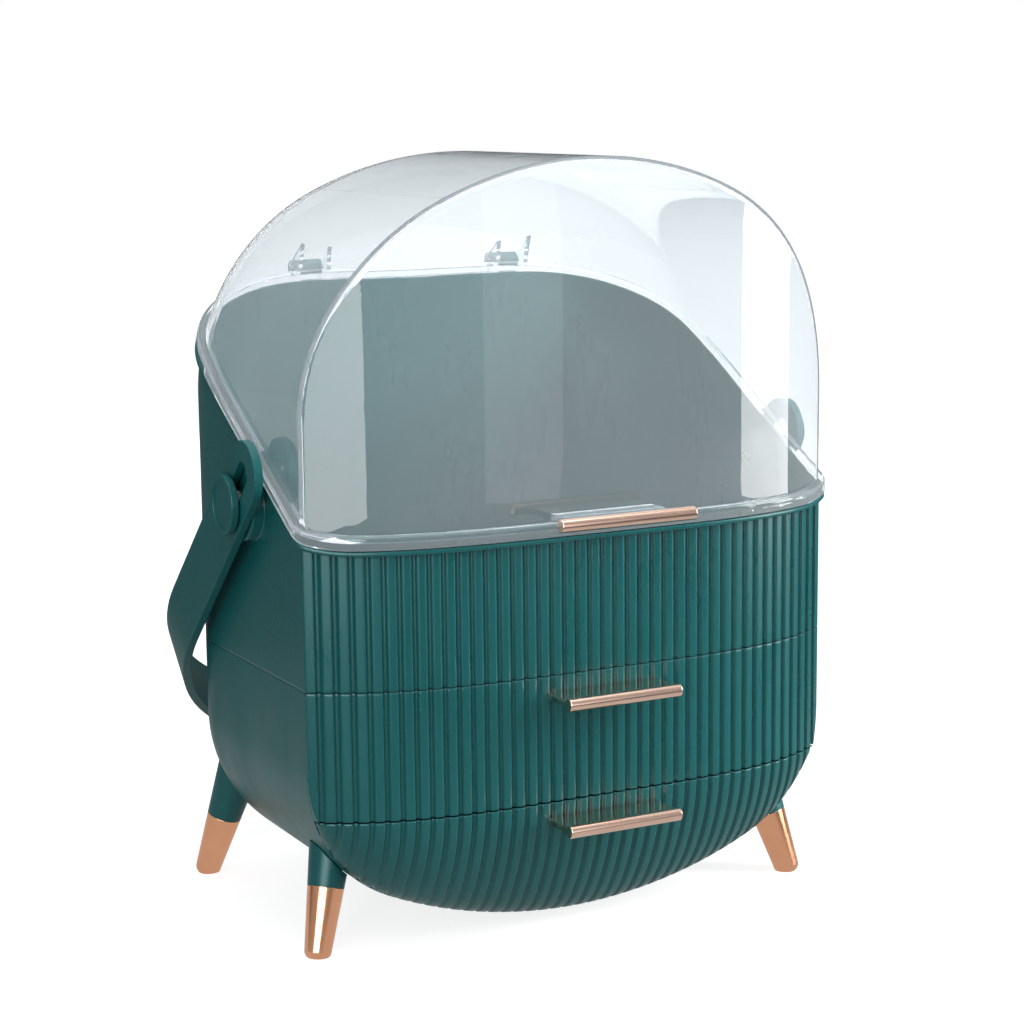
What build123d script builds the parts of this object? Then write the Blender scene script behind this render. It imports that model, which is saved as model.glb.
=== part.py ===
from build123d import *

import os
from math import atan, copysign, cos, hypot, radians, sin, sqrt, tan

# Vanity case: a capsule-shaped body on four splayed legs, two drawers, an open tub above them,
# a clear lid hinged at the back and a strap handle that swings over the lid. Millimetres, +Z up.
# X is the width, the front looks along -Y, and the origin lies on the table under the middle.

# Body outline, seen from the front
half_width = 150.0
belly_bottom = 5.0
belly_spring = 98.0
belly_side_radius = 77.0
arch_spring = 270.0
arch_rise = 125.6
arch_side_radius = 118.6

# Body outline, seen from above
body_depth = 184.5
bow_depth = 28.0
bow_exponent = 4.0
bow_steps = 16
back_round = 58.0

# Heights of the joints between the storeys
drawer_split = 74.5
tub_seam = 140.0
seam_gap = 0.3
split_gap = 0.8

# Belly of the lower drawer's front: shares of its height and depth that its Bezier handles take
dome_drop_share = 0.35
dome_run_share = 0.5

# Rim of the tub: level along the front, rising along the sides to the back, with a lip just below
rim_front = 213.5
rim_slope = 0.58
rim_turn = 8.7
rim_bend = 30.0
rim_overhang = 4.0
rim_gap = 0.4
lip_drop = 3.6
lip_thickness = 2.2
lip_overhang = 3.7

# Rim of the lid: a flange over the tub's rim with a skirt that hangs outside it
front_round = 5.0
lid_flange = 3.6
flange_round = 2.0
skirt_drop = 2.9
skirt_wall = 1.8
skirt_back_gap = 66.0

# Walls
body_wall = 3.0
lid_wall = 2.5
tray_wall = 2.5
plate_thickness = 3.0
fit_gap = 0.35
touch_gap = 0.3
cut_over = 1.0
upright_share = 0.99

# Flutes of the front
land_width = 4.2
ridge_count = 40
ridge_flat = 4.0
groove_flat = 1.45
flute_depth = 1.6
flute_fade = 0.6

# Drawers
front_lap = 1.2
mouth_gap = 0.4
wrap_reach = 7.0
wrap_exponent = 0.7
dome_steps = 24
front_skin = 4.6
front_pocket_half = half_width - 18.0
pocket_top_wall = 3.0
dome_rear_cut = 14.0
upper_tray_half = half_width - 15.0
upper_tray_length = 148.0
upper_tray_height = 54.0
upper_tray_corner = 14.0
lower_tray_half = half_width - 38.0
lower_tray_length = 122.0
lower_tray_top = 66.0
stop_height = 5.5
stop_half = 40.0
stop_thickness = 2.5
stop_overlap = 2.0
stop_side_gap = 8.0
upper_stop_setback = 24.0
lower_stop_setback = 6.0

# Rails, ledges and posts inside the lower casing
rail_width = 1.8
rail_height = 4.0
rail_gap = 0.4
floor_rail_top = 46.0
floor_rail_setback = 45.0
ledge_width = 11.0
ledge_thickness = 6.0
post_radius = 4.0
post_foot = 96.0
post_inset = 4.2
front_post_setback = 12.0
back_post_setback = 116.0
shelf_screw_inset = 18.0
post_web = 3.0

# Fasteners: shank radius, head radius and head height
wood_screw = (1.5, 2.8, 1.8)
body_screw = (1.9, 3.6, 2.2)
pull_screw = (1.0, 2.1, 1.4)
screw_clearance = 0.25
shelf_screw_length = 7.0
tub_screw_length = 16.0
front_screw_length = 12.0
pull_screw_length = 14.0
leg_screw_length = 36.0
pivot_screw_length = 12.0
screw_boss_radius = 4.5
front_boss_x = 62.0
upper_boss_height = 104.0
lower_boss_height = 48.0

# Pulls: a flat web that ends in a round nose
pull_nose_radius = 3.4
pull_web = 3.4
drawer_pull_length = 64.0
drawer_pull_reach = 21.8
upper_pull_height = 129.8
lower_pull_height = 65.2
pull_screw_x = 22.0
pull_pad_half = 4.5
pull_pad_depth = 8.0
pull_edge = 0.5
lid_pull_length = 76.0
lid_pull_reach = 25.8
lid_tongue_half = 29.0
lid_tongue_thickness = 3.0
lid_tongue_rise = 1.15
tongue_bite = 2.4

# Legs
leg_foot_x = half_width - 8.5
leg_foot_inset = 14.0
leg_lean_x = 0.26
leg_lean_y = 0.22
leg_foot_radius = 6.7
leg_taper = 0.0775
leg_tip_length = 33.0
leg_length = 74.0
leg_tip_round = 4.5
leg_peg_radius = 4.6
leg_peg_length = 20.0
peg_gap = 0.1
leg_boss_radius = 6.0
front_leg_boss_top = 60.0
rear_leg_boss_top = 72.0

# Carry handle and its pivots
pivot_setback = 65.6
pivot_height = 224.9
pivot_boss_radius = 19.5
pivot_boss_height = 6.4
handle_gap = 0.5
handle_thickness = 4.5
handle_width = 34.0
handle_reach = 240.0
handle_corner = 136.0
handle_stow = 42.8
handle_edge = 1.2
slot_width = 13.0
slot_travel = 25.0
bush_gap = 0.15
stem_radius = 4.0
stem_gap = 0.06
bush_bore_gap = 0.08
bush_end_gap = 0.2
pivot_play = 0.15
button_radius = 15.0
button_height = 4.0
button_rim = 2.4
button_recess = 0.8

# Lid hinge
hinge_x = 61.0
hinge_setback = 10.0
hinge_rise = 3.1
hinge_half_width = 7.0
hinge_gap = 0.5
hinge_lug = 2.5
hinge_radius = 4.6
hinge_pin_radius = 1.5
hinge_pin_gap = 0.06
hinge_lug_gap = 0.08
hinge_pin_proud = 1.0
hinge_bite = 6.0
knuckle_drop = 13.0
gusset_height = 15.0

# Places that follow from the sizes
front_reach = bow_depth + drawer_pull_reach + pull_nose_radius
lid_pull_front = bow_depth + lid_pull_reach + pull_nose_radius
stow = radians(handle_stow)
back_reach = pivot_setback + handle_reach * cos(stow) + handle_width / 2 * sin(stow)
front_y = (max(front_reach, lid_pull_front) - back_reach) / 2
back_y = front_y + body_depth
lap_y = front_y + front_lap
far_front = front_y - 2 * bow_depth
far_back = back_y + 2 * rim_overhang
lid_top = arch_spring + arch_rise
rim_turn_y = front_y - rim_turn
rim_angle = atan(rim_slope)
bend_start = rim_turn_y - rim_bend * tan(rim_angle / 2)
bend_run = rim_bend * sin(rim_angle)
bow_end_slope = bow_depth * bow_exponent / half_width
lip_low = lip_drop + lip_thickness
crest_y = front_y - bow_depth
fluted_half = half_width - land_width
flute_slope = (2 * fluted_half - ridge_count * ridge_flat - (ridge_count + 1) * groove_flat) / (
    2 * (ridge_count + 1)
)
pivot_y = front_y + pivot_setback
tray_inset = body_wall + fit_gap

os.makedirs("parts", exist_ok=True)


def save(piece, name):
    """Label one finished piece and write it."""
    piece.label = name
    export_step(piece, f"parts/{name}.step")


def crown_radius(half, rise, side_radius):
    """Radius of the crown arc of a three-centred arch of a half span, a rise and side arcs."""
    return ((half - side_radius) ** 2 + rise**2 - side_radius**2) / (2 * (rise - side_radius))


def shoulder(half, rise, side_radius):
    """Point where the side arc of such an arch meets its crown arc."""
    across = half - side_radius
    drop = crown_radius(half, rise, side_radius) - rise
    share = side_radius / hypot(across, drop)
    return across * (1 + share), drop * share


def belly_height(x, inset=0.0):
    """Height of the belly's underside at x, for the form pushed in by inset."""
    half = half_width - inset
    rise = belly_spring - belly_bottom - inset
    side_radius = belly_side_radius - inset
    across = min(abs(x), half)
    if across > shoulder(half, rise, side_radius)[0]:
        return belly_spring - sqrt(side_radius**2 - (across - half + side_radius) ** 2)
    crown = crown_radius(half, rise, side_radius)
    return belly_spring + crown - rise - sqrt(crown**2 - across**2)


def bow(x):
    """Y of the bowed front at x, going straight on beyond the body's sides."""
    inside = min(abs(x), half_width)
    return front_y - bow_depth * (1 - (inside / half_width) ** bow_exponent) + bow_end_slope * (abs(x) - inside)


def rim_height(y):
    """Height of the tub's rim at y: level, then a bend, then a straight slope."""
    past = y - bend_start
    if past <= 0:
        return rim_front
    if past < bend_run:
        return rim_front + rim_bend - sqrt(rim_bend**2 - past**2)
    return rim_front + rim_slope * (y - rim_turn_y)


def body_form(inset, front=far_front):
    """The whole capsule with a rounded back, pushed in by inset, from y = front backwards."""
    half = half_width - inset
    over_x, over_z = shoulder(half, arch_rise - inset, arch_side_radius - inset)
    under_x, under_z = shoulder(half, belly_spring - belly_bottom - inset, belly_side_radius - inset)
    with BuildPart() as form:
        with BuildSketch(Plane.XZ.offset(-front)):
            with BuildLine():
                right = Line((half, belly_spring), (half, arch_spring))
                arc = TangentArc(right @ 1, (over_x, arch_spring + over_z), tangent=(0, 1))
                arc = TangentArc(arc @ 1, (-over_x, arch_spring + over_z), tangent=arc % 1)
                arc = TangentArc(arc @ 1, (-half, arch_spring), tangent=arc % 1)
                left = Line(arc @ 1, (-half, belly_spring))
                arc = TangentArc(left @ 1, (-under_x, belly_spring - under_z), tangent=(0, -1))
                arc = TangentArc(arc @ 1, (under_x, belly_spring - under_z), tangent=arc % 1)
                TangentArc(arc @ 1, right @ 0, tangent=arc % 1)
            make_face()
        extrude(amount=front + inset - back_y)
        fillet(form.faces().sort_by(Axis.Y)[-1].edges(), radius=back_round - inset)
    return form.part


def plain_plan(outset, low, high, back=far_back):
    """A wide block between two heights with the bowed front pushed forwards by outset."""
    edge = half_width + 2 * rim_overhang
    spots = [edge * (2 * step / bow_steps - 1) for step in range(bow_steps + 1)]
    with BuildPart() as block:
        with BuildSketch(Plane.XY.offset(low)):
            with BuildLine():
                front = Spline([(x, bow(x) - outset) for x in spots])
                Polyline(front @ 1, (edge, back), (-edge, back), front @ 0)
            make_face()
        extrude(amount=high - low)
    return block.part


def flute_stations():
    """Places across the front where the flutes turn, each with its depth below the plain bow."""
    turns = []
    start = -fluted_half
    for _ in range(ridge_count + 1):
        turns.append((start, 0.0))
        turns.append((start + flute_slope, flute_depth))
        turns.append((start + flute_slope + groove_flat, flute_depth))
        turns.append((start + 2 * flute_slope + groove_flat, 0.0))
        start += 2 * flute_slope + groove_flat + ridge_flat
    return turns


def fluted_plan(low, high, back=far_back):
    """The body's plan between two heights with the flutes of the front cut in."""
    front = [(-half_width, front_y)] + [(x, bow(x) + inset) for x, inset in flute_stations()]
    with BuildPart() as block:
        with BuildSketch(Plane.XY.offset(low)):
            with BuildLine():
                Polyline(*front, (half_width, front_y), (half_width, back), (-half_width, back), close=True)
            make_face()
        extrude(amount=high - low)
    return block.part


def rim_slab(low, high):
    """The space between two shifts of the rim's surface, right across the body."""
    end = bend_start + bend_run
    with BuildPart() as slab:
        with BuildSketch(Plane.YZ):
            with BuildLine():
                for shift in (low, high):
                    level = Line((far_front, rim_front + shift), (bend_start, rim_front + shift))
                    bend = TangentArc(level @ 1, (end, rim_height(end) + shift), tangent=(1, 0))
                    Line(bend @ 1, (far_back, rim_height(far_back) + shift))
                Line((far_front, rim_front + low), (far_front, rim_front + high))
                Line((far_back, rim_height(far_back) + low), (far_back, rim_height(far_back) + high))
            make_face()
        extrude(amount=2 * half_width, both=True)
    return slab.part


def rim_band(outset, low, high):
    """A plate between two shifts of the rim's surface, its outline grown by outset, its front corners rounded."""
    with BuildPart() as band:
        add(plain_plan(outset, rim_front - lip_low - lid_flange, rim_top))
        add(body_form(-outset), mode=Mode.INTERSECT)
        upright = band.edges().filter_by(lambda edge: abs((edge % 0.5).Z) > upright_share)
        fillet(upright.group_by(Axis.Y)[0], radius=front_round + outset)
        add(rim_slab(low, high), mode=Mode.INTERSECT)
    return band.part


def front_edges(part):
    """The edges of a lid form's bowed front, without those along the rim."""
    edges = part.faces().sort_by(Axis.Y)[0].edges()
    return edges.filter_by(lambda edge: edge.center().Z > rim_height(front_y) + front_round)


def box_between(low, high):
    """A box given by two opposite corners."""
    size = [b - a for a, b in zip(low, high)]
    middle = [(a + b) / 2 for a, b in zip(low, high)]
    with BuildPart(Plane(origin=middle)) as block:
        Box(*size)
    return block.part


def rod(start, direction, radius, length):
    """A cylinder from a start point along a direction."""
    with BuildPart(Plane(origin=start, z_dir=direction)) as cylinder:
        Cylinder(radius, length, align=(Align.CENTER, Align.CENTER, Align.MIN))
    return cylinder.part


def screw(seat, direction, size, length):
    """A pan-head screw: the shank runs from its seat along the direction, the head lies behind."""
    shank, head, height = size
    with BuildPart(Plane(origin=seat, z_dir=direction)) as fastener:
        Cylinder(shank, length, align=(Align.CENTER, Align.CENTER, Align.MIN))
        Cylinder(head, height, align=(Align.CENTER, Align.CENTER, Align.MAX))
    return fastener.part


def save_group(pieces, name):
    """Write identical fasteners as one node of separate solids."""
    save(Compound(children=list(pieces)), name)


rim_top = rim_height(far_back) + 2 * lid_flange
outer_form = body_form(0.0)
inner_form = body_form(body_wall)
tray_form = body_form(tray_inset)


# The lower drawer's front curves under the belly, and the casing's mouth follows its edge
def dome_back(x):
    """Y of the dome's back edge on the belly at x."""
    share = max(0.0, drawer_split - belly_height(x)) / (drawer_split - belly_bottom)
    return lap_y + touch_gap + wrap_reach * share**wrap_exponent


def dome_spots(half):
    """Evenly spread places across the front between -half and half."""
    return [half * (2 * step / dome_steps - 1) for step in range(dome_steps + 1)]


def dome_mouth(gap):
    """The space in front of the dome's back edge, below the drawers' split."""
    with BuildPart() as mouth:
        with BuildSketch():
            with BuildLine():
                edge = Spline([(x, dome_back(x) + gap) for x in dome_spots(fluted_half)])
                Polyline(
                    edge @ 1,
                    (half_width, lap_y + gap),
                    (half_width, far_front),
                    (-half_width, far_front),
                    (-half_width, lap_y + gap),
                    edge @ 0,
                )
            make_face()
        extrude(amount=drawer_split)
    return mouth.part


def dome_loft(stations, top, behind):
    """A ruled block from the dome's face to behind its back edge: stations are x, inset in y and in z."""
    with BuildPart() as block:
        for x, inset_y, inset_z in stations:
            face = bow(x) + inset_y
            foot = belly_height(x) + inset_z
            back = dome_back(x)
            drop = dome_drop_share * (top - foot)
            run = dome_run_share * (back - face)
            with BuildSketch(Plane.YZ.offset(x)):
                with BuildLine():
                    Bezier((face, top), (face, top - drop), (back - run, foot), (back, foot))
                    Polyline((back, foot), (back + behind, top), (face, top))
                make_face()
        loft(ruled=True)
    return block.part


def dome_core(inset, half, top, behind):
    """The smooth space inside the dome's skin, inset from its outside."""
    return dome_loft([(x, inset, inset) for x in dome_spots(half)], top, behind)


# Leg axes, from the foot up
def leg_frame(side, end):
    """Foot, direction and boss height of one leg: side is -1 or 1, end is -1 at the front and 1 at the back."""
    foot_y = front_y + leg_foot_inset if end < 0 else back_y - leg_foot_inset
    foot = Vector(side * leg_foot_x, foot_y, 0)
    lean = Vector(-side * leg_lean_x, -end * leg_lean_y, 1).normalized()
    return foot, lean, front_leg_boss_top if end < 0 else rear_leg_boss_top


def up_leg(foot, lean, height):
    """The point of a leg's axis at a height."""
    return foot + lean * (height / lean.Z)


legs = {
    f"{'front' if end < 0 else 'rear'}_{'left' if side < 0 else 'right'}": leg_frame(side, end)
    for side in (-1, 1)
    for end in (-1, 1)
}

# Lower casing: sides, back and belly in one shell, open at the front and at the top
post_x = half_width - body_wall - post_inset
post_spots = [
    (side * post_x, front_y + setback) for side in (-1, 1) for setback in (front_post_setback, back_post_setback)
]
casing_top = tub_seam - seam_gap
casing_front = lap_y + mouth_gap
shelf_low = drawer_split - plate_thickness / 2
shelf_high = drawer_split + plate_thickness / 2
ledge_top = shelf_low
ledge_low = ledge_top - ledge_thickness
ledge_inner = half_width - body_wall - ledge_width
rail_inner = lower_tray_half + rail_gap
ledge_back = front_y + back_post_setback + post_radius
shelf_front = casing_front + touch_gap
shelf_screw_x = upper_tray_half + rail_gap + rail_width + wood_screw[1] + rail_gap / 2
shelf_screw_spots = [
    (side * shelf_screw_x, y)
    for side in (-1, 1)
    for y in (dome_back(0) + shelf_screw_inset, ledge_back - shelf_screw_inset)
]

with BuildPart() as casing_insides:
    for side in (-1, 1):
        inner, outer = sorted((side * ledge_inner, side * half_width))
        add(box_between((inner, shelf_front, ledge_low), (outer, ledge_back, ledge_top)))
        inner, outer = sorted((side * rail_inner, side * (rail_inner + rail_width)))
        add(box_between((inner, front_y + floor_rail_setback, belly_bottom), (outer, ledge_back, floor_rail_top)))
    for x, y in post_spots:
        add(rod((x, y, post_foot), (0, 0, 1), post_radius, casing_top - post_foot))
        low_x, high_x = sorted((x, copysign(half_width, x)))
        add(box_between((low_x, y - post_web / 2, post_foot), (high_x, y + post_web / 2, casing_top)))
    for foot, lean, boss_top in legs.values():
        base = up_leg(foot, lean, belly_bottom)
        top = up_leg(foot, lean, boss_top)
        add(rod(base, lean, leg_boss_radius, (top - base).length))
    add(outer_form, mode=Mode.INTERSECT)

with BuildPart() as lower_casing:
    add(outer_form)
    add(box_between((-half_width, casing_front, 0), (half_width, far_back, casing_top)), mode=Mode.INTERSECT)
    add(inner_form, mode=Mode.SUBTRACT)
    add(casing_insides.part)
    add(dome_mouth(mouth_gap), mode=Mode.SUBTRACT)
    for x, y in post_spots:
        hole = rod((x, y, casing_top - tub_screw_length), (0, 0, 1), body_screw[0], tub_screw_length + cut_over)
        add(hole, mode=Mode.SUBTRACT)
    for x, y in shelf_screw_spots:
        hole = rod((x, y, ledge_low), (0, 0, 1), wood_screw[0], ledge_thickness + cut_over)
        add(hole, mode=Mode.SUBTRACT)
    for foot, lean, boss_top in legs.values():
        start = up_leg(foot, lean, belly_bottom)
        end = up_leg(foot, lean, boss_top + body_screw[2])
        add(rod(start, lean, body_screw[0] + screw_clearance, (end - start).length), mode=Mode.SUBTRACT)
save(lower_casing.part, "lower_casing")

# Legs: a tapered green leg with a peg below, and a metal tip over the peg
leg_skin = body_form(-touch_gap)
table = box_between((-2 * half_width, far_front, -leg_tip_length), (2 * half_width, far_back, 0))
tip_sink = leg_lean_x * leg_foot_radius
leg_screws = []
for name, (foot, lean, boss_top) in legs.items():
    rise = leg_tip_length / lean.Z
    tip_radius = leg_foot_radius + leg_taper * rise
    top_radius = leg_foot_radius + leg_taper * leg_length
    with BuildPart(Plane(origin=foot, z_dir=lean)) as leg_blank:
        with Locations((0, 0, rise)):
            Cone(tip_radius, top_radius, leg_length - rise, align=(Align.CENTER, Align.CENTER, Align.MIN))
            Cylinder(leg_peg_radius, leg_peg_length, align=(Align.CENTER, Align.CENTER, Align.MAX))
        Cylinder(
            body_screw[0], leg_length, align=(Align.CENTER, Align.CENTER, Align.MIN), mode=Mode.SUBTRACT
        )
    with BuildPart() as leg:
        add(leg_blank.part)
        add(leg_skin, mode=Mode.SUBTRACT)
    save(leg.part, f"leg_{name}")

    with BuildPart(Plane(origin=foot, z_dir=lean)) as tip_blank:
        with Locations((0, 0, -tip_sink)):
            Cone(
                leg_foot_radius - leg_taper * tip_sink,
                tip_radius,
                rise + tip_sink,
                align=(Align.CENTER, Align.CENTER, Align.MIN),
            )
        fillet(tip_blank.faces().sort_by(Axis.Z)[0].edges(), radius=leg_tip_round)
        with Locations((0, 0, rise)):
            Cylinder(
                leg_peg_radius + peg_gap,
                leg_peg_length + peg_gap,
                align=(Align.CENTER, Align.CENTER, Align.MAX),
                mode=Mode.SUBTRACT,
            )
    with BuildPart() as tip:
        add(tip_blank.part)
        add(table, mode=Mode.SUBTRACT)
    save(tip.part, f"leg_tip_{name}")
    leg_screws.append(screw(up_leg(foot, lean, boss_top), -lean, body_screw, leg_screw_length))
save_group(leg_screws, "leg_screws")

# Shelf between the drawers, screwed to the casing's ledges
with BuildPart() as mid_shelf:
    add(tray_form)
    add(
        box_between((-half_width, shelf_front, shelf_low), (half_width, lap_y + upper_tray_length, shelf_high)),
        mode=Mode.INTERSECT,
    )
    for side in (-1, 1):
        inner, outer = sorted(side * (upper_tray_half + rail_gap + w) for w in (0, rail_width))
        add(box_between((inner, shelf_front, shelf_high), (outer, ledge_back, shelf_high + rail_height)))
    stop_y = front_y + lower_stop_setback
    add(
        box_between(
            (-stop_half, stop_y, shelf_low - stop_height + stop_overlap),
            (stop_half, stop_y + stop_thickness, shelf_low),
        )
    )
    for x, y in shelf_screw_spots:
        hole_radius = wood_screw[0] + screw_clearance
        hole = rod((x, y, shelf_low - cut_over), (0, 0, 1), hole_radius, plate_thickness + 2 * cut_over)
        add(hole, mode=Mode.SUBTRACT)
save(mid_shelf.part, "mid_shelf")
save_group(
    [screw((x, y, shelf_high), (0, 0, -1), wood_screw, shelf_screw_length) for x, y in shelf_screw_spots],
    "shelf_screws",
)

# Upper tub: fluted front, smooth sides and back, flat floor, a plain rim with an out-turned lip below it
floor_top = tub_seam + plate_thickness
hinge_y = back_y + hinge_setback
hinge_z = rim_height(back_y + rim_overhang) + hinge_rise

with BuildPart() as tub_cavity:
    add(plain_plan(-front_skin, floor_top, lid_top))
    add(inner_form, mode=Mode.INTERSECT)

with BuildPart() as upper_tub:
    add(fluted_plan(tub_seam, rim_top))
    add(outer_form, mode=Mode.INTERSECT)
    add(rim_slab(-lid_top, -lip_drop - lip_thickness / 2), mode=Mode.INTERSECT)
    add(rim_band(lip_overhang, -lip_low, -lip_drop))
    add(rim_band(0, -lip_drop - lip_thickness / 3, 0))
    for side in (-1, 1):
        start = (side * (half_width - body_wall), pivot_y, pivot_height)
        add(rod(start, (side, 0, 0), pivot_boss_radius, body_wall + pivot_boss_height))
        knuckle_low = hinge_z - knuckle_drop
        with BuildSketch(Plane.YZ.offset(side * hinge_x)):
            with BuildLine():
                Polyline(
                    (back_y - body_wall, knuckle_low),
                    (back_y, knuckle_low),
                    (hinge_y + hinge_radius, hinge_z),
                    (hinge_y, hinge_z),
                    (back_y - body_wall, rim_height(back_y) - lip_low),
                    close=True,
                )
            make_face()
            with Locations((hinge_y, hinge_z)):
                Circle(hinge_radius)
        extrude(amount=hinge_half_width, both=True)
    add(tub_cavity.part, mode=Mode.SUBTRACT)
    stop_y = front_y + upper_stop_setback
    add(
        box_between(
            (-stop_half, stop_y, tub_seam - stop_height + stop_overlap),
            (stop_half, stop_y + stop_thickness, tub_seam),
        )
    )
    for x, y in post_spots:
        hole_radius = body_screw[0] + screw_clearance
        hole = rod((x, y, tub_seam - cut_over), (0, 0, 1), hole_radius, plate_thickness + 2 * cut_over)
        add(hole, mode=Mode.SUBTRACT)
    for side in (-1, 1):
        with BuildSketch(Plane.YZ.offset(side * hinge_x)):
            with Locations((hinge_y, hinge_z)):
                Circle(hinge_pin_radius + hinge_pin_gap)
        extrude(amount=hinge_half_width, both=True, mode=Mode.SUBTRACT)
        mouth = (side * (half_width + pivot_boss_height), pivot_y, pivot_height)
        add(rod(mouth, (-side, 0, 0), stem_radius + stem_gap, pivot_boss_height), mode=Mode.SUBTRACT)
        through = pivot_boss_height + 2 * body_wall
        add(rod(mouth, (-side, 0, 0), wood_screw[0] + screw_clearance, through), mode=Mode.SUBTRACT)
save(upper_tub.part, "upper_tub")
save_group([screw((x, y, floor_top), (0, 0, -1), body_screw, tub_screw_length) for x, y in post_spots], "tub_screws")

# Hinge pins through the tub's knuckles and the lid's lugs
lug_outer = hinge_half_width + hinge_gap + hinge_lug
for side, name in ((-1, "left"), (1, "right")):
    start = (side * hinge_x - lug_outer - hinge_pin_proud, hinge_y, hinge_z)
    pin = rod(start, (1, 0, 0), hinge_pin_radius, 2 * (lug_outer + hinge_pin_proud))
    save(pin, f"hinge_pin_{name}")

# Clear lid: thin arched shell with a flange and a skirt along its rim, hinge lugs and a tongue for its pull
lid_low = rim_front + rim_gap
lid_pull_y = crest_y - lid_pull_reach
tongue_low = lid_low + lid_flange + lid_tongue_rise
tongue_high = tongue_low + lid_tongue_thickness
lid_pull_z = (tongue_low + tongue_high) / 2

with BuildPart() as lid_flange_ring:
    add(rim_band(rim_overhang, rim_gap, rim_gap + lid_flange))
    upper_edges = lid_flange_ring.edges().filter_by(
        lambda edge: edge.center().Z > rim_height(edge.center().Y) + rim_gap + lid_flange / 2
    )
    fillet(upper_edges - upper_edges.filter_by(Axis.X), radius=flange_round)

with BuildPart() as lid_skirt:
    add(rim_band(rim_overhang, -skirt_drop, rim_gap + (lid_flange - flange_round) / 2))
    add(rim_band(rim_overhang - skirt_wall, -lip_drop, lid_flange), mode=Mode.SUBTRACT)
    add(box_between((-lid_top, back_y - skirt_back_gap, 0), (lid_top, far_back, lid_top)), mode=Mode.SUBTRACT)

with BuildPart() as lid_cavity:
    add(plain_plan(-lid_wall, rim_front - lid_flange, lid_top))
    add(body_form(lid_wall), mode=Mode.INTERSECT)
    add(rim_slab(-lid_flange, lid_top), mode=Mode.INTERSECT)
    fillet(front_edges(lid_cavity), radius=front_round - lid_wall)

with BuildPart() as lid_shell:
    add(plain_plan(0, rim_front, 2 * lid_top))
    add(outer_form, mode=Mode.INTERSECT)
    add(rim_slab(rim_gap, lid_top), mode=Mode.INTERSECT)
    fillet(front_edges(lid_shell), radius=front_round)
    add(lid_flange_ring.part)
    add(lid_skirt.part)
    add(
        box_between(
            (-lid_tongue_half, crest_y - rim_overhang / 2, lid_low + lid_flange / 2),
            (lid_tongue_half, bow(lid_tongue_half) + lid_wall / 2, tongue_high),
        )
    )
    add(
        box_between(
            (-lid_tongue_half, lid_pull_y + pull_nose_radius - tongue_bite, tongue_low),
            (lid_tongue_half, bow(lid_tongue_half) + lid_wall / 2, tongue_high),
        )
    )
    for side in (-1, 1):
        for end in (-1, 1):
            middle = side * hinge_x + end * (lug_outer - hinge_lug / 2)
            lug_base = back_y - hinge_bite
            lug_clear = rim_gap + touch_gap
            lug_edge = hinge_y - hinge_radius
            with BuildSketch(Plane.YZ.offset(middle)):
                with BuildLine():
                    Polyline(
                        (lug_base, rim_height(lug_base) + lug_clear),
                        (lug_edge, rim_height(lug_edge) + lug_clear),
                        (hinge_y, hinge_z),
                        (hinge_y + hinge_radius, hinge_z),
                        (lug_base, hinge_z + gusset_height),
                        close=True,
                    )
                make_face()
                with Locations((hinge_y, hinge_z)):
                    Circle(hinge_radius)
                    Circle(hinge_pin_radius + hinge_lug_gap, mode=Mode.SUBTRACT)
            extrude(amount=hinge_lug / 2, both=True)
    add(lid_cavity.part, mode=Mode.SUBTRACT)
save(lid_shell.part, "lid_shell")

with BuildPart() as lid_pull:
    add(rod((-lid_pull_length / 2, lid_pull_y, lid_pull_z), (1, 0, 0), pull_nose_radius, lid_pull_length))
    fillet(lid_pull.edges().filter_by(GeomType.CIRCLE), radius=pull_edge)
    add(lid_shell.part, mode=Mode.SUBTRACT)
save(lid_pull.part, "lid_pull")


def front_bosses(height, front):
    """The two screw bosses behind a drawer front, from y = front to its back plane."""
    depth = lap_y - front
    return [rod((side * front_boss_x, front, height), (0, 1, 0), screw_boss_radius, depth) for side in (-1, 1)]


def pull_pads(height):
    """The two pads behind a drawer front that carry its pull's screws."""
    reach = crest_y + pull_pad_depth
    return [
        box_between(
            (side * pull_screw_x - pull_pad_half, far_front, height - pull_pad_half),
            (side * pull_screw_x + pull_pad_half, reach, height + pull_pad_half),
        )
        for side in (-1, 1)
    ]


def front_screw_set(height):
    """Screws from inside a tray's front wall into the bosses of its drawer front."""
    seat_y = lap_y + tray_wall
    spots = [(side * front_boss_x, seat_y, height) for side in (-1, 1)]
    return [screw(spot, (0, -1, 0), wood_screw, front_screw_length) for spot in spots]


def pull_screw_set(height):
    """Screws from behind a drawer front into its pull."""
    spots = [(side * pull_screw_x, crest_y + pull_pad_depth, height) for side in (-1, 1)]
    return [screw(spot, (0, -1, 0), pull_screw, pull_screw_length) for spot in spots]


def drill_front(height, pull_height):
    """The screw holes of a drawer front."""
    holes = []
    for side in (-1, 1):
        boss_spot = (side * front_boss_x, lap_y, height)
        holes.append(rod(boss_spot, (0, -1, 0), wood_screw[0], front_screw_length - tray_wall))
        pad_spot = (side * pull_screw_x, crest_y + pull_pad_depth, pull_height)
        holes.append(rod(pad_spot, (0, -1, 0), pull_screw[0] + screw_clearance, 2 * pull_pad_depth))
    return holes


def drill_tray(height):
    """The screw holes in a tray's front wall."""
    hole_radius = wood_screw[0] + screw_clearance
    return [rod((side * front_boss_x, lap_y, height), (0, 1, 0), hole_radius, tray_wall) for side in (-1, 1)]


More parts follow.
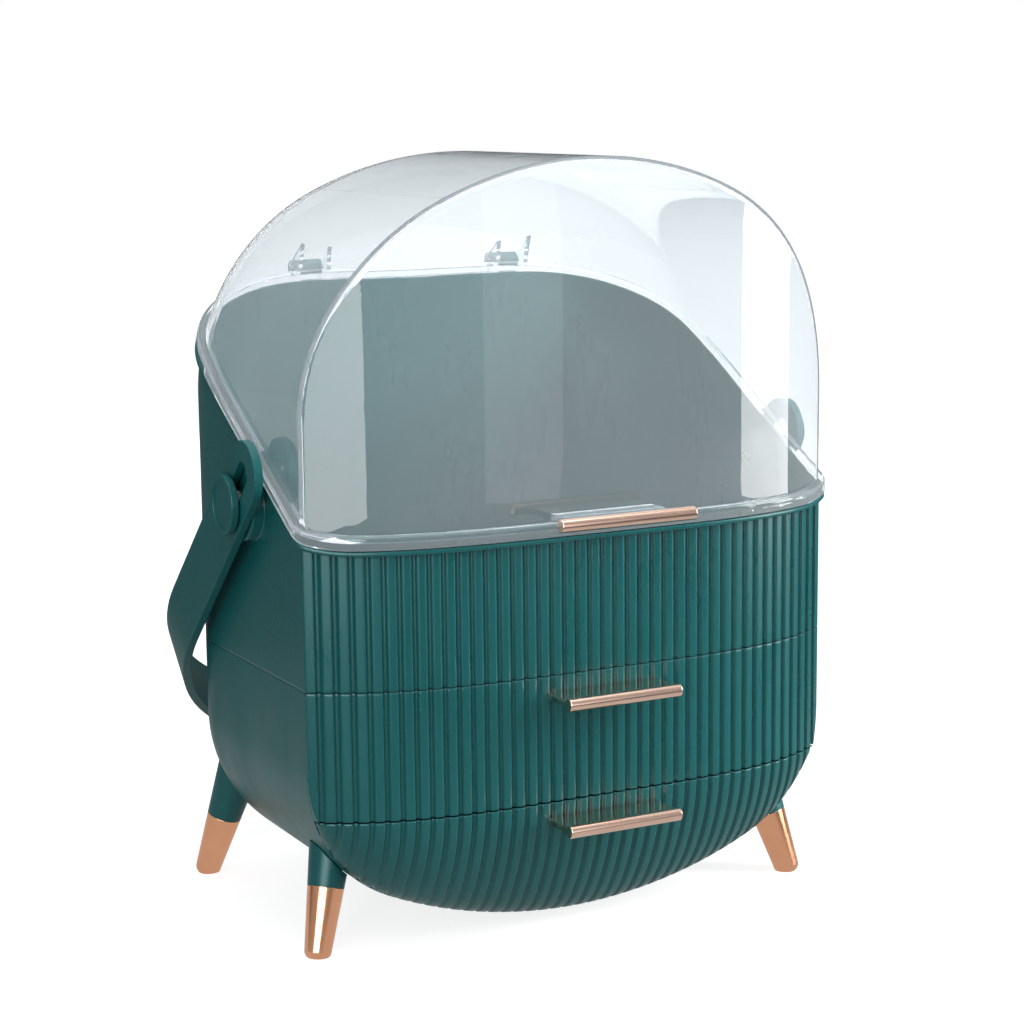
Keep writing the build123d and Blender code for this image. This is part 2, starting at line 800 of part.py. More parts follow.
def drawer_pull(height, front_part):
    """A pull: a web with a round nose, shaped to the drawer front it is screwed to."""
    nose_y = crest_y - drawer_pull_reach
    with BuildPart() as pull:
        with BuildSketch(Plane.YZ):
            with Locations((nose_y, height)):
                Circle(pull_nose_radius)
                Rectangle(bow_depth + drawer_pull_reach, pull_web, align=(Align.MIN, Align.CENTER))
        extrude(amount=drawer_pull_length / 2, both=True)
        fillet(pull.faces().filter_by(Axis.X).edges(), radius=pull_edge)
        add(front_part, mode=Mode.SUBTRACT)
        for side in (-1, 1):
            start = (side * pull_screw_x, crest_y + pull_pad_depth, height)
            add(rod(start, (0, -1, 0), pull_screw[0], pull_screw_length), mode=Mode.SUBTRACT)
    return pull.part


# Upper drawer
upper_low = drawer_split + split_gap / 2
upper_high = tub_seam - split_gap / 2

with BuildPart() as upper_block:
    add(fluted_plan(upper_low, upper_high, back=lap_y))
    add(outer_form, mode=Mode.INTERSECT)

with BuildPart() as upper_pocket:
    add(plain_plan(-front_skin, upper_low + pocket_top_wall, upper_high - pocket_top_wall))
    add(
        box_between((-front_pocket_half, far_front, upper_low), (front_pocket_half, lap_y, upper_high)),
        mode=Mode.INTERSECT,
    )
    for solid in front_bosses(upper_boss_height, far_front) + pull_pads(upper_pull_height):
        add(solid, mode=Mode.SUBTRACT)

with BuildPart() as upper_drawer_front:
    add(upper_block.part)
    add(upper_pocket.part, mode=Mode.SUBTRACT)
    for solid in drill_front(upper_boss_height, upper_pull_height):
        add(solid, mode=Mode.SUBTRACT)
save(upper_drawer_front.part, "upper_drawer_front")
save(drawer_pull(upper_pull_height, upper_block.part), "upper_drawer_pull")
save_group(front_screw_set(upper_boss_height), "upper_front_screws")
save_group(pull_screw_set(upper_pull_height), "upper_pull_screws")

upper_tray_low = shelf_high + touch_gap
upper_tray_top = upper_tray_low + upper_tray_height
upper_tray_back = lap_y + upper_tray_length
tab_half = stop_half - stop_side_gap
with BuildPart() as upper_drawer_tray:
    add(box_between((-upper_tray_half, lap_y, upper_tray_low), (upper_tray_half, upper_tray_back, upper_tray_top)))
    fillet(
        upper_drawer_tray.edges().filter_by(Axis.Z).group_by(Axis.Y)[-1],
        radius=upper_tray_corner,
    )
    offset(amount=-tray_wall, openings=upper_drawer_tray.faces().sort_by(Axis.Z)[-1])
    add(
        box_between(
            (-tab_half, upper_tray_back - tray_wall, upper_tray_top - tray_wall),
            (tab_half, upper_tray_back, tub_seam - stop_height + 2 * stop_overlap),
        )
    )
    for solid in drill_tray(upper_boss_height):
        add(solid, mode=Mode.SUBTRACT)
save(upper_drawer_tray.part, "upper_drawer_tray")

# Lower drawer
lower_high = drawer_split - split_gap / 2
outer_stations = [(x, inset, flute_fade * inset) for x, inset in flute_stations()]
with BuildPart() as lower_block:
    add(dome_loft(outer_stations, lower_high, 0))
    rear_low = shelf_low - touch_gap
    add(
        box_between((-half_width, lap_y, rear_low), (half_width, far_back, drawer_split)),
        mode=Mode.SUBTRACT,
    )

with BuildPart() as lower_pocket:
    add(dome_core(front_skin, front_pocket_half, lower_high - pocket_top_wall, tray_wall))
    for solid in front_bosses(lower_boss_height, far_front) + pull_pads(lower_pull_height):
        add(solid, mode=Mode.SUBTRACT)

with BuildPart() as lower_drawer_front:
    add(lower_block.part)
    add(lower_pocket.part, mode=Mode.SUBTRACT)
    add(
        box_between(
            (-front_pocket_half, lap_y, drawer_split - dome_rear_cut), (front_pocket_half, far_back, drawer_split)
        ),
        mode=Mode.SUBTRACT,
    )
    for solid in drill_front(lower_boss_height, lower_pull_height):
        add(solid, mode=Mode.SUBTRACT)
save(lower_drawer_front.part, "lower_drawer_front")
save(drawer_pull(lower_pull_height, lower_block.part), "lower_drawer_pull")
save_group(front_screw_set(lower_boss_height), "lower_front_screws")
save_group(pull_screw_set(lower_pull_height), "lower_pull_screws")


def lower_tray_block(wall):
    """The lower tray's outside, or with a wall its inside: it rests in the belly and clears the dome's skin."""
    with BuildPart() as skin_zone:
        add(dome_mouth(fit_gap))
        core = dome_core(front_skin + fit_gap + wall, front_pocket_half, drawer_split, tray_wall)
        add(core, mode=Mode.SUBTRACT)
    with BuildPart() as block:
        add(body_form(tray_inset + wall))
        half = lower_tray_half - wall
        back = lap_y + lower_tray_length - wall
        top = lower_tray_top + wall
        add(box_between((-half, lap_y + wall, 0), (half, back, top)), mode=Mode.INTERSECT)
        add(skin_zone.part, mode=Mode.SUBTRACT)
    return block.part


with BuildPart() as lower_drawer_tray:
    add(lower_tray_block(0))
    add(lower_tray_block(tray_wall), mode=Mode.SUBTRACT)
    lower_tray_back = lap_y + lower_tray_length
    add(
        box_between(
            (-tab_half, lower_tray_back - tray_wall, lower_tray_top - tray_wall),
            (tab_half, lower_tray_back, shelf_low - stop_height + 2 * stop_overlap),
        )
    )
    for solid in drill_tray(lower_boss_height):
        add(solid, mode=Mode.SUBTRACT)
save(lower_drawer_tray.part, "lower_drawer_tray")

# Carry handle: a flat strap bent to a wide loop, with a slot near each end that slides on its pivot
arm_inner = half_width + pivot_boss_height + handle_gap
arm_outer = arm_inner + handle_thickness
arm_tail = slot_travel + handle_width / 2
pivot_spot = (0, pivot_y, pivot_height)
along = (0, cos(stow), -sin(stow))
across = (0, sin(stow), cos(stow))
loop_plane = Plane(origin=pivot_spot, x_dir=(1, 0, 0), z_dir=across)
side_plane = Plane(origin=pivot_spot, x_dir=along, z_dir=(1, 0, 0))


def loop_block(inset, tail):
    """The solid under the handle's loop, its outline pushed in by inset."""
    half = arm_outer - inset
    corner = handle_corner - inset
    reach = handle_reach - inset
    with BuildPart() as block:
        with BuildSketch(loop_plane):
            with BuildLine():
                right = Line((half, -tail), (half, reach - corner))
                arc = TangentArc(right @ 1, (half - corner, reach), tangent=(0, 1))
                grip = Line(arc @ 1, (corner - half, reach))
                arc = TangentArc(grip @ 1, (-half, reach - corner), tangent=(-1, 0))
                left = Line(arc @ 1, (-half, -tail))
                Line(left @ 1, right @ 0)
            make_face()
        extrude(amount=handle_width / 2, both=True)
    return block.part


with BuildPart() as carry_handle:
    add(loop_block(0, arm_tail))
    add(loop_block(handle_thickness, 2 * arm_tail), mode=Mode.SUBTRACT)
    with BuildSketch(side_plane):
        with Locations((-slot_travel, 0)):
            Circle(handle_width / 2)
            Rectangle(slot_travel + handle_reach, handle_width, align=(Align.MIN, Align.CENTER))
    extrude(amount=arm_outer, both=True, mode=Mode.INTERSECT)
    with BuildSketch(side_plane):
        with Locations((-slot_travel / 2, 0)):
            SlotCenterToCenter(slot_travel, slot_width)
    extrude(amount=arm_outer, both=True, mode=Mode.SUBTRACT)
save(carry_handle.part, "carry_handle")

# Pivots: a button with a stem in the tub's boss, a bush round the stem in the slot, a screw from inside
button_low = arm_outer + handle_gap
boss_face = half_width + pivot_boss_height
bush_length = button_low - boss_face - 2 * bush_end_gap
pivot_screws = []
for side, name in ((-1, "left"), (1, "right")):
    outwards = (side, 0, 0)
    with BuildPart(Plane(origin=(side * button_low, pivot_y, pivot_height), z_dir=outwards)) as button:
        Cylinder(button_radius, button_height, align=(Align.CENTER, Align.CENTER, Align.MIN))
        fillet(button.edges().filter_by(GeomType.CIRCLE), radius=pull_edge)
        with Locations((0, 0, button_height)):
            Cylinder(
                button_radius - button_rim,
                button_recess,
                align=(Align.CENTER, Align.CENTER, Align.MAX),
                mode=Mode.SUBTRACT,
            )
        stem_length = button_low - half_width - pivot_play
        Cylinder(stem_radius, stem_length, align=(Align.CENTER, Align.CENTER, Align.MAX))
        with Locations((0, 0, -stem_length)):
            Cylinder(
                wood_screw[0],
                pivot_screw_length - body_wall,
                align=(Align.CENTER, Align.CENTER, Align.MIN),
                mode=Mode.SUBTRACT,
            )
    save(button.part, f"pivot_button_{name}")

    with BuildPart(Plane(origin=(side * (boss_face + bush_end_gap), pivot_y, pivot_height), z_dir=outwards)) as bush:
        Cylinder(slot_width / 2 - bush_gap, bush_length, align=(Align.CENTER, Align.CENTER, Align.MIN))
        Cylinder(
            stem_radius + bush_bore_gap,
            bush_length,
            align=(Align.CENTER, Align.CENTER, Align.MIN),
            mode=Mode.SUBTRACT,
        )
    save(bush.part, f"pivot_bush_{name}")
    seat = (side * (half_width - body_wall - pivot_play), pivot_y, pivot_height)
    pivot_screws.append(screw(seat, outwards, wood_screw, pivot_screw_length))
save_group(pivot_screws, "pivot_screws")
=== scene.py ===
"""Looks of the vanity case: its finishes, the studio and the camera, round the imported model."""

import math

import bmesh
import bpy
from mathutils import Matrix, Vector

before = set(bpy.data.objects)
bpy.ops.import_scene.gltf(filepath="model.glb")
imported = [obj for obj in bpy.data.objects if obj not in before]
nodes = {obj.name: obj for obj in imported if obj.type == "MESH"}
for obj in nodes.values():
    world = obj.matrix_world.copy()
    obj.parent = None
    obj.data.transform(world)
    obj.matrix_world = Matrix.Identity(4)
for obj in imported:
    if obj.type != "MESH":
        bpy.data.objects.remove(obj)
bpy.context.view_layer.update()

# ---------------------------------------------------------------- camera

CAMERA_PLACE = Vector((-0.58693, -1.15484, 0.42456))
CAMERA_TURN = math.radians(27.536)
CAMERA_DOWN = math.radians(9.783)
CAMERA_TILT = math.radians(-0.607)
CAMERA_LENS = 84.81


def photo_camera():
    """The camera at the photograph's place, with its turn to the right, look down and small tilt."""
    forward = Vector((math.sin(CAMERA_TURN) * math.cos(CAMERA_DOWN),
                      math.cos(CAMERA_TURN) * math.cos(CAMERA_DOWN), -math.sin(CAMERA_DOWN)))
    level = Vector((math.cos(CAMERA_TURN), -math.sin(CAMERA_TURN), 0))
    right = Matrix.Rotation(-CAMERA_TILT, 3, forward) @ level
    up = right.cross(forward)
    camera = bpy.data.objects.new("photo_camera", bpy.data.cameras.new("photo_camera"))
    bpy.context.scene.collection.objects.link(camera)
    camera.data.lens = CAMERA_LENS
    turn = Matrix((right, up, -forward)).transposed().to_4x4()
    camera.matrix_world = Matrix.Translation(CAMERA_PLACE) @ turn
    bpy.context.scene.camera = camera


photo_camera()

# ---------------------------------------------------------------- small helpers for node materials


class Shader:
    """A node material or group being built: places nodes, wires them and sets their sockets."""

    def __init__(self, tree):
        self.tree = tree

    def add(self, kind, links=None, **settings):
        """Places a node. Settings name its properties, and links its inputs, each with a value or a socket."""
        node = self.tree.nodes.new(kind)
        for name, value in settings.items():
            setattr(node, name, value)
        for name, value in (links or {}).items():
            if isinstance(value, bpy.types.NodeSocket):
                self.tree.links.new(value, node.inputs[name])
            else:
                node.inputs[name].default_value = value
        return node

    def maths(self, operation, *values, clamp=False):
        node = self.add("ShaderNodeMath", dict(enumerate(values)), operation=operation, use_clamp=clamp)
        return node.outputs[0]

    def noise(self, where, scale, detail=2.0, roughness=0.5):
        links = {"Vector": where, "Scale": scale, "Detail": detail, "Roughness": roughness}
        return self.add("ShaderNodeTexNoise", links).outputs["Fac"]

    def spread(self, value, low, high, to_low=0.0, to_high=1.0):
        links = {"Value": value, "From Min": low, "From Max": high, "To Min": to_low, "To Max": to_high}
        return self.add("ShaderNodeMapRange", links).outputs["Result"]

    def blend(self, factor, first, second):
        node = self.add("ShaderNodeMix", {"Factor": factor}, data_type="RGBA")
        for name, value in (("A", first), ("B", second)):
            socket = [s for s in node.inputs if s.name == name and s.type == "RGBA"][0]
            if isinstance(value, bpy.types.NodeSocket):
                self.tree.links.new(value, socket)
            else:
                socket.default_value = value
        return [s for s in node.outputs if s.type == "RGBA"][0]

    def place(self):
        return self.add("ShaderNodeTexCoord").outputs["Object"]

    def group(self, tree, **values):
        node = self.add("ShaderNodeGroup", node_tree=tree)
        for name, value in values.items():
            node.inputs[name.replace("_", " ")].default_value = value
        return node.outputs


def new_group(name, inputs, outputs):
    """A node group with named inputs and outputs, and the Shader that fills it."""
    tree = bpy.data.node_groups.new(name, "ShaderNodeTree")
    for label, default in inputs:
        socket = tree.interface.new_socket(label, in_out="INPUT", socket_type="NodeSocketFloat")
        socket.default_value = default
    for label, kind in outputs:
        tree.interface.new_socket(label, in_out="OUTPUT", socket_type=kind)
    shader = Shader(tree)
    return tree, shader, shader.add("NodeGroupInput").outputs, shader.add("NodeGroupOutput").inputs


def new_material(name):
    """An empty node material, its Shader and its output."""
    material = bpy.data.materials.new(name)
    material.use_nodes = True
    material.node_tree.nodes.clear()
    shader = Shader(material.node_tree)
    return material, shader, shader.add("ShaderNodeOutputMaterial").inputs["Surface"]


# ---------------------------------------------------------------- effects that several finishes share

EDGE_RADIUS = 0.0006
EDGE_SAMPLES = 8
EDGE_BEGINS, EDGE_FULL = 0.985, 0.80
GROOVE_REACH = 0.006
GROOVE_SAMPLES = 6


def soft_edges_group():
    """Rounds sharp corners in the shading and marks them for a painted edge highlight. Open falls to 0 deep in a
    groove, where it paints shade.
    """
    tree, s, inputs, outputs = new_group(
        "soft_edges", [("Radius", EDGE_RADIUS)],
        [("Normal", "NodeSocketVector"), ("Edge", "NodeSocketFloat"), ("Open", "NodeSocketFloat")])
    rounded = s.add("ShaderNodeBevel", {"Radius": inputs["Radius"]}, samples=EDGE_SAMPLES).outputs["Normal"]
    true = s.add("ShaderNodeNewGeometry").outputs["Normal"]
    along = s.add("ShaderNodeVectorMath", {0: rounded, 1: true}, operation="DOT_PRODUCT").outputs["Value"]
    s.tree.links.new(rounded, outputs["Normal"])
    s.tree.links.new(s.spread(along, EDGE_BEGINS, EDGE_FULL), outputs["Edge"])
    links = {"Distance": GROOVE_REACH, "Normal": rounded}
    near = s.add("ShaderNodeAmbientOcclusion", links, samples=GROOVE_SAMPLES)
    s.tree.links.new(near.outputs["AO"], outputs["Open"])
    return tree


MOULD_GRAINS = 2600.0
WALL_WAVES = 22.0
WAVE_SHARE = 0.35
HANDLING_MARKS = 38.0
HANDLING_DRAWN = (1.0, 1.0, 0.35)
HANDLING_BEGINS, HANDLING_FULL = 0.42, 0.72
SHADE_PATCHES = 9.0


def mould_grain_group():
    """Fine spark-eroded grain, the slow waves of a moulded wall and the faint marks of handling."""
    tree, s, inputs, outputs = new_group(
        "mould_grain", [("Grain per metre", MOULD_GRAINS), ("Wave", WAVE_SHARE)],
        [("Height", "NodeSocketFloat"), ("Handling", "NodeSocketFloat"), ("Shade", "NodeSocketFloat")])
    place = s.place()
    grain = s.noise(place, inputs["Grain per metre"], 3.0, 0.6)
    wave = s.maths("MULTIPLY", s.noise(place, WALL_WAVES, 1.0), inputs["Wave"])
    s.tree.links.new(s.maths("ADD", grain, wave), outputs["Height"])
    smear = s.add("ShaderNodeMapping", {"Vector": place, "Scale": HANDLING_DRAWN}).outputs["Vector"]
    marks = s.noise(smear, HANDLING_MARKS, 5.0, 0.62)
    s.tree.links.new(s.spread(marks, HANDLING_BEGINS, HANDLING_FULL), outputs["Handling"])
    s.tree.links.new(s.noise(place, SHADE_PATCHES, 2.0), outputs["Shade"])
    return tree


POLISH_LINES_PER_METRE = 5200.0
LINE_DRAWN = 0.02
TARNISH_SPOTS = 60.0
TARNISH_BEGINS, TARNISH_FULL = 0.4, 0.75


def polish_lines_group():
    """Hair-fine lines from polishing, drawn out along X or Z of the piece."""
    tree, s, inputs, outputs = new_group(
        "polish_lines", [("Along X", 1.0), ("Lines per metre", POLISH_LINES_PER_METRE)],
        [("Height", "NodeSocketFloat"), ("Tarnish", "NodeSocketFloat")])
    place = s.place()
    flat = s.maths("SUBTRACT", 1 + LINE_DRAWN, inputs["Along X"])
    tall = s.maths("ADD", LINE_DRAWN, inputs["Along X"])
    stretch = s.add("ShaderNodeCombineXYZ", {"X": flat, "Y": 1.0, "Z": tall}).outputs["Vector"]
    drawn = s.add("ShaderNodeVectorMath", {0: place, 1: stretch}, operation="MULTIPLY").outputs["Vector"]
    s.tree.links.new(s.noise(drawn, inputs["Lines per metre"], 2.0), outputs["Height"])
    spots = s.noise(place, TARNISH_SPOTS, 4.0, 0.6)
    s.tree.links.new(s.spread(spots, TARNISH_BEGINS, TARNISH_FULL), outputs["Tarnish"])
    return tree


SOFT_EDGES = soft_edges_group()
MOULD_GRAIN = mould_grain_group()
POLISH_LINES = polish_lines_group()

# ---------------------------------------------------------------- finishes

# the darkest teal is painted shade, put deep in grooves and seams
PAINTED_SHADE_TEAL = (0.0012, 0.012, 0.013, 1.0)
DEEP_TEAL = (0.0065, 0.122, 0.126, 1.0)
# the light teal is the plastic's own lighter tone in random patches, and also a painted highlight along edges
LIGHT_TEAL = (0.013, 0.18, 0.183, 1.0)
GREEN_GRAIN_DEPTH = 0.000012
PATCH_BEGINS, PATCH_FULL = 0.3, 0.7
PATCH_TONE = 0.35
EDGE_HIGHLIGHT_TONE = 0.55
# painted shade in grooves and seams, found by ambient occlusion
GROOVE_CLOSED, GROOVE_OPEN = 0.1, 0.65
GROOVE_SHADE_FACTOR = 0.1
HANDLED_ROUGHNESS = 0.09


def green_moulding(name, roughness, grain=MOULD_GRAINS, edge_radius=0.0007):
    """Satin teal-green plastic with a painted highlight that lightens its edges and painted shade that darkens it
    deep in its grooves.
    """
    material, s, surface = new_material(name)
    edges = s.group(SOFT_EDGES, Radius=edge_radius)
    skin = s.group(MOULD_GRAIN, Grain_per_metre=grain)
    shade = s.spread(skin["Shade"], PATCH_BEGINS, PATCH_FULL, 0.0, PATCH_TONE)
    # painted highlight: edges lightened towards the light teal, on top of the random lighter patches
    patches_and_edge_highlight = s.maths("ADD", shade, s.maths("MULTIPLY", edges["Edge"], EDGE_HIGHLIGHT_TONE), clamp=True)
    # painted shade: ambient occlusion blends the colour towards a near-black teal deep in grooves and seams
    painted_groove_shade = s.spread(edges["Open"], GROOVE_CLOSED, GROOVE_OPEN, GROOVE_SHADE_FACTOR, 1.0)
    bump = s.add("ShaderNodeBump", {"Strength": 0.6, "Distance": GREEN_GRAIN_DEPTH, "Height": skin["Height"],
                                    "Normal": edges["Normal"]})
    shader = s.add("ShaderNodeBsdfPrincipled", {
        "Base Color": s.blend(painted_groove_shade, PAINTED_SHADE_TEAL, s.blend(patches_and_edge_highlight, DEEP_TEAL, LIGHT_TEAL)),
        "Roughness": s.spread(skin["Handling"], 0.0, 1.0, roughness, roughness + HANDLED_ROUGHNESS),
        "Normal": bump.outputs["Normal"], "IOR": 1.5, "Specular IOR Level": 0.42})
    s.tree.links.new(shader.outputs[0], surface)
    return material


LID_TINT = (0.965, 0.985, 1.0, 1.0)
LID_PAINTED_GLOW = (0.7, 0.9, 1.0, 1.0)
LID_SHADE = (0.92, 0.93, 0.93, 1.0)
LID_WAVE_DEPTH = 0.0004


def clear_moulding(name):
    """Clear plastic with a faint milky haze and a faint painted glow that stands in for the light it reflects. Light
    on its way to other pieces passes straight through.
    """
    material, s, surface = new_material(name)
    skin = s.group(MOULD_GRAIN)
    bump = s.add("ShaderNodeBump", {"Strength": 0.1, "Distance": LID_WAVE_DEPTH, "Height": skin["Shade"]})
    # painted light: a faint bluish-white glow (Emission) lightens the lid in place of reflected light
    glass = s.add("ShaderNodeBsdfPrincipled", {
        "Base Color": LID_TINT, "Transmission Weight": 0.93, "IOR": 1.42, "Roughness": 0.0,
        "Emission Color": LID_PAINTED_GLOW, "Emission Strength": 0.042, "Normal": bump.outputs["Normal"]})
    path = s.add("ShaderNodeLightPath").outputs
    passing = s.maths("MAXIMUM", path["Is Shadow Ray"], path["Is Diffuse Ray"])
    open_air = s.add("ShaderNodeBsdfTransparent", {"Color": LID_SHADE})
    both = s.add("ShaderNodeMixShader", {0: passing, 1: glass.outputs[0], 2: open_air.outputs[0]})
    s.tree.links.new(both.outputs[0], surface)
    return material


METAL_EDGE_RADIUS = 0.0004
POLISH_DEPTH = 0.000006
TARNISH_TONE = 0.3
TARNISH_ROUGHNESS = 0.06


def rose_metal(name, colour, dark, roughness, along_x):
    """Polished rose-gold plating, with hair-fine polishing lines and a little tarnish."""
    material, s, surface = new_material(name)
    edges = s.group(SOFT_EDGES, Radius=METAL_EDGE_RADIUS)
    lines = s.group(POLISH_LINES, Along_X=along_x)
    bump = s.add("ShaderNodeBump", {"Strength": 0.35, "Distance": POLISH_DEPTH, "Height": lines["Height"],
                                    "Normal": edges["Normal"]})
    shader = s.add("ShaderNodeBsdfPrincipled", {
        "Base Color": s.blend(s.maths("MULTIPLY", lines["Tarnish"], TARNISH_TONE), colour, dark),
        "Roughness": s.spread(lines["Tarnish"], 0.0, 1.0, roughness, roughness + TARNISH_ROUGHNESS),
        "Normal": bump.outputs["Normal"], "Metallic": 1.0})
    s.tree.links.new(shader.outputs[0], surface)
    return material


BRIGHT_ZINC = (0.62, 0.63, 0.64, 1.0)
DULL_ZINC = (0.44, 0.44, 0.43, 1.0)
ZINC_LINES = 3000.0
FINE_DEPTH = 0.00001


def screw_steel(name):
    """Zinc-plated steel of the screws and pins."""
    material, s, surface = new_material(name)
    lines = s.group(POLISH_LINES, Along_X=0.5, Lines_per_metre=ZINC_LINES)
    bump = s.add("ShaderNodeBump", {"Strength": 0.4, "Distance": FINE_DEPTH, "Height": lines["Height"]})
    shader = s.add("ShaderNodeBsdfPrincipled", {
        "Base Color": s.blend(lines["Tarnish"], BRIGHT_ZINC, DULL_ZINC),
        "Metallic": 1.0, "Roughness": s.spread(lines["Tarnish"], 0.0, 1.0, 0.26, 0.4),
        "Normal": bump.outputs["Normal"]})
    s.tree.links.new(shader.outputs[0], surface)
    return material


CLEAN_NYLON = (0.82, 0.81, 0.77, 1.0)
WORN_NYLON = (0.7, 0.69, 0.64, 1.0)
NYLON_GRAINS = 1800.0


def bush_nylon(name):
    """Milky white nylon of the pivots' bushes."""
    material, s, surface = new_material(name)
    skin = s.group(MOULD_GRAIN, Grain_per_metre=NYLON_GRAINS)
    bump = s.add("ShaderNodeBump", {"Strength": 0.4, "Distance": FINE_DEPTH, "Height": skin["Height"]})
    shader = s.add("ShaderNodeBsdfPrincipled", {
        "Base Color": s.blend(skin["Handling"], CLEAN_NYLON, WORN_NYLON), "Roughness": 0.46,
        "Subsurface Weight": 0.15, "Subsurface Scale": 0.002, "Normal": bump.outputs["Normal"]})
    s.tree.links.new(shader.outputs[0], surface)
    return material


BAR_GOLD, BAR_TARNISH = (0.95, 0.66, 0.53, 1.0), (0.75, 0.45, 0.32, 1.0)
TIP_GOLD, TIP_TARNISH = (1.0, 0.5, 0.29, 1.0), (0.9, 0.38, 0.18, 1.0)
FINISHES = {
    "case_plastic": green_moulding("case_plastic", 0.36),
    "fluted_plastic": green_moulding("fluted_plastic", 0.27, edge_radius=0.0018),
    "strap_plastic": green_moulding("strap_plastic", 0.36, grain=3400.0),
    "tray_plastic": green_moulding("tray_plastic", 0.42, grain=1900.0),
    "clear_lid_plastic": clear_moulding("clear_lid_plastic"),
    "rose_gold_bar": rose_metal("rose_gold_bar", BAR_GOLD, BAR_TARNISH, 0.14, along_x=1.0),
    "rose_gold_tip": rose_metal("rose_gold_tip", TIP_GOLD, TIP_TARNISH, 0.16, along_x=0.0),
    "screw_steel": screw_steel("screw_steel"),
    "bush_nylon": bush_nylon("bush_nylon"),
}


def finish_of(node):
    """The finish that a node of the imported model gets, by its name."""
    if node.endswith("_pull"):
        return "rose_gold_bar"
    if node.startswith("leg_tip"):
        return "rose_gold_tip"
    if "screws" in node or "pin" in node:
        return "screw_steel"
    if "bush" in node:
        return "bush_nylon"
    if node == "lid_shell":
        return "clear_lid_plastic"
    if node.endswith("drawer_front") or node == "upper_tub":
        return "fluted_plastic"
    if node == "carry_handle" or "button" in node:
        return "strap_plastic"
    if node.endswith("_tray") or node == "mid_shelf":
        return "tray_plastic"
    return "case_plastic"


for name, node in nodes.items():
    node.data.materials.clear()
    node.data.materials.append(FINISHES[finish_of(name)])

# ---------------------------------------------------------------- studio

WHITE = (1.0, 1.0, 1.0, 1.0)


def seen_directly(s):
    """1 for rays from the camera and for those that glass lets through, or else 0."""
    path = s.add("ShaderNodeLightPath").outputs
    return s.maths("MAXIMUM", path["Is Camera Ray"], path["Is Transmission Ray"])


def seen_in_gloss(s):
    """1 for rays that a glossy surface throws back, or else 0."""
    path = s.add("ShaderNodeLightPath").outputs
    return s.maths("MULTIPLY", path["Is Glossy Ray"], path["Is Reflection Ray"])


def flat_sheet(name, corners):
    """A flat piece of the studio between its corners."""
    sheet = bmesh.new()
    sheet.faces.new([sheet.verts.new(corner) for corner in corners])
    mesh = bpy.data.meshes.new(name)
    sheet.to_mesh(mesh)
    sheet.free()
    piece = bpy.data.objects.new(name, mesh)
    bpy.context.scene.collection.objects.link(piece)
    return piece


FLOOR_HALF = 6.0
FLOOR_PAINT = (0.5, 0.5, 0.5, 1.0)
FLOOR_GLOW = 0.82
NEAR_FLOOR, FAR_FLOOR = 0.32, 0.7
NEAR_SHINE, FAR_SHINE = 0.55, 0.13


def pale_floor():
    """A wide floor that shows white and keeps the case's soft shadow. Gloss sees it bright only near the case."""
    half = FLOOR_HALF
    floor = flat_sheet("studio_floor", [(-half, -half, 0), (half, -half, 0), (half, half, 0), (-half, half, 0)])
    material, s, surface = new_material("studio_floor")
    paint = s.add("ShaderNodeBsdfDiffuse", {"Color": FLOOR_PAINT})
    glow = s.add("ShaderNodeEmission", {"Strength": s.maths("MULTIPLY", seen_directly(s), FLOOR_GLOW)})
    lit = s.add("ShaderNodeAddShader", {0: paint.outputs[0], 1: glow.outputs[0]})
    away = s.add("ShaderNodeVectorMath", {0: s.place()}, operation="LENGTH").outputs["Value"]
    shine = s.spread(away, NEAR_FLOOR, FAR_FLOOR, NEAR_SHINE, FAR_SHINE)
    dusk = s.add("ShaderNodeEmission", {"Strength": shine})
    both = s.add("ShaderNodeMixShader", {0: seen_in_gloss(s), 1: lit.outputs[0], 2: dusk.outputs[0]})
    s.tree.links.new(both.outputs[0], surface)
    floor.data.materials.append(material)


ROOM_LIGHT = (0.96, 0.98, 1.0, 1.0)
ROOM_LIGHT_STRENGTH = 0.42
ROOM_SHINE = (0.97, 0.985, 1.0, 1.0)
FRONT_SHINE, DIM_SHINE, CEILING_SHINE, LID_INNER_SHINE = 0.4, 0.1, 0.9, 0.6
REAR_BEGINS, REAR_FULL = 0.2, 0.6
CEILING_BEGINS, CEILING_FULL = 0.45, 0.9


def white_room():
    """White all round for the eye, an even light on the case, and for gloss a grey room that darkens to the rear."""
    world = bpy.data.worlds.new("white_room")
    bpy.context.scene.world = world
    world.use_nodes = True
    world.node_tree.nodes.clear()
    s = Shader(world.node_tree)
    light = s.add("ShaderNodeBackground", {"Color": ROOM_LIGHT, "Strength": ROOM_LIGHT_STRENGTH})
    white = s.add("ShaderNodeBackground", {"Color": WHITE, "Strength": 1.0})
    both = s.add("ShaderNodeMixShader", {0: seen_directly(s), 1: light.outputs[0], 2: white.outputs[0]})
    heading = s.add("ShaderNodeSeparateXYZ", {0: s.add("ShaderNodeTexCoord").outputs["Generated"]}).outputs
    in_glass = s.maths("GREATER_THAN", s.add("ShaderNodeLightPath").outputs["Transmission Depth"], 0.5)
    around = s.spread(heading["Y"], REAR_BEGINS, REAR_FULL, FRONT_SHINE, DIM_SHINE)
    around = s.maths("MAXIMUM", s.maths("MULTIPLY", in_glass, LID_INNER_SHINE), around)
    above = s.spread(heading["Z"], CEILING_BEGINS, CEILING_FULL, DIM_SHINE, CEILING_SHINE)
    shine = s.maths("MAXIMUM", around, above)
    dim = s.add("ShaderNodeBackground", {"Color": ROOM_SHINE, "Strength": shine})
    room = s.add("ShaderNodeMixShader", {0: seen_in_gloss(s), 1: both.outputs[0], 2: dim.outputs[0]})
    s.tree.links.new(room.outputs[0], s.add("ShaderNodeOutputWorld").inputs["Surface"])


CARD_AWAY = 1.35
CARD_LOW, CARD_HIGH = 0.02, 1.2


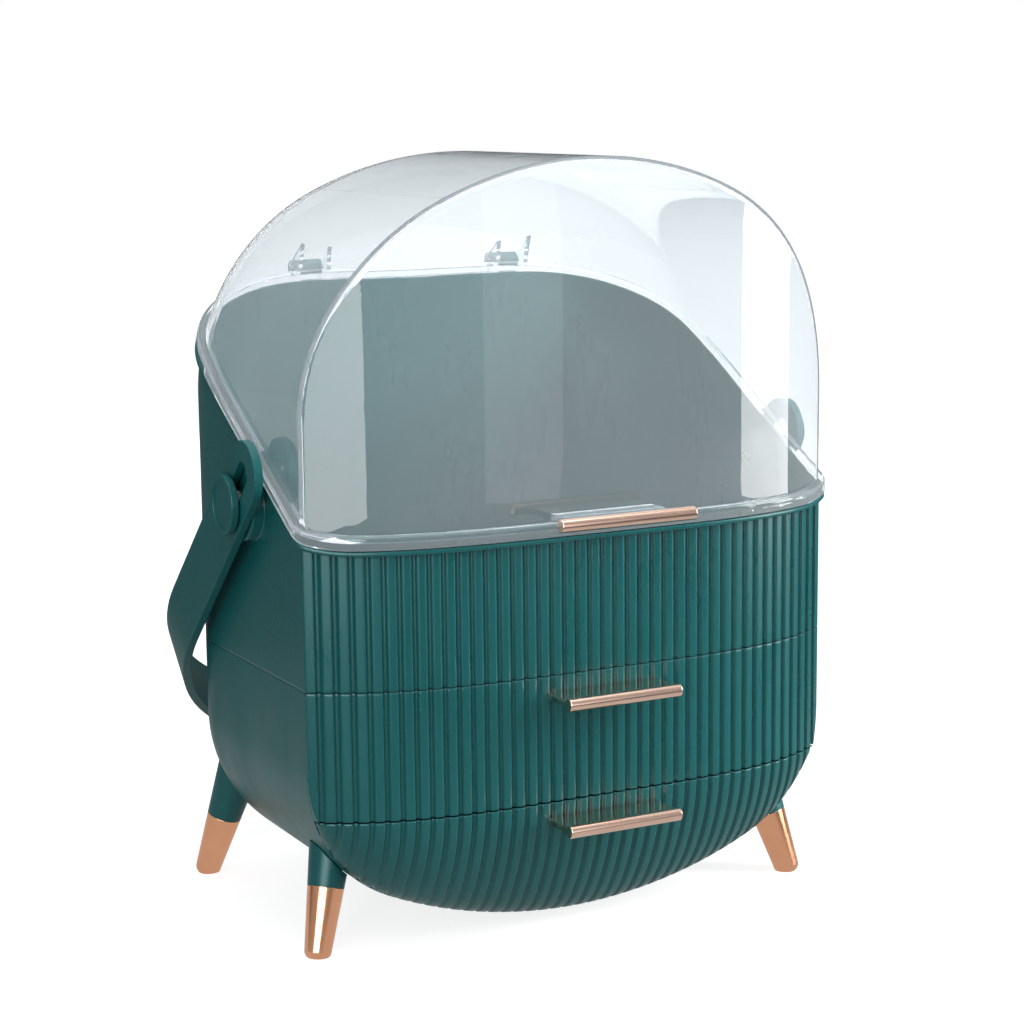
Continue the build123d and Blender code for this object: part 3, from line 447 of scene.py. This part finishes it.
def shine_card(name, from_turn, to_turn, strength):
    """An upright white card round the case, between two compass turns from the front, that only gloss shows."""
    turns = (from_turn, to_turn, to_turn, from_turn)
    corners = [(CARD_AWAY * math.sin(math.radians(turn)), -CARD_AWAY * math.cos(math.radians(turn)), height)
               for turn, height in zip(turns, (CARD_LOW, CARD_LOW, CARD_HIGH, CARD_HIGH))]
    card = flat_sheet(name, corners)
    material, s, surface = new_material(name)
    shine = s.add("ShaderNodeEmission", {"Strength": strength})
    both = s.add("ShaderNodeMixShader", {
        0: seen_in_gloss(s), 1: s.add("ShaderNodeBsdfTransparent").outputs[0], 2: shine.outputs[0]})
    s.tree.links.new(both.outputs[0], surface)
    card.data.materials.append(material)


def softbox(name, place, aim, width, height, power, mirrored=True):
    """A soft lamp at a place, aimed at a point, and unseen itself. One that isn't mirrored adds no gloss."""
    lamp = bpy.data.lights.new(name, "AREA")
    lamp.shape, lamp.size, lamp.size_y, lamp.energy = "RECTANGLE", width, height, power
    holder = bpy.data.objects.new(name, lamp)
    bpy.context.scene.collection.objects.link(holder)
    turn = (Vector(aim) - Vector(place)).to_track_quat("-Z", "Y").to_matrix().to_4x4()
    holder.matrix_world = Matrix.Translation(place) @ turn
    holder.visible_glossy = mirrored
    holder.visible_camera = holder.visible_transmission = False


CASE_MIDDLE = (0.0, -0.01, 0.2)
pale_floor()
white_room()
softbox("left_softbox", (-1.35, -1.25, 0.75), CASE_MIDDLE, 0.3, 1.3, 4.5, mirrored=False)
softbox("right_softbox", (1.5, -1.05, 0.7), CASE_MIDDLE, 0.35, 1.3, 24.0, mirrored=False)
softbox("top_softbox", (0.1, -0.2, 1.7), CASE_MIDDLE, 1.2, 1.0, 9.0)
softbox("rear_softbox", (0.5, 1.7, 0.5), CASE_MIDDLE, 0.8, 0.8, 6.0, mirrored=False)
shine_card("left_card", -60, -23.8, 7.5)
shine_card("middle_card", 15.7, 24.5, 1.3)
shine_card("right_card", 46.7, 71, 10.0)

bpy.context.scene.view_settings.view_transform = "Standard"
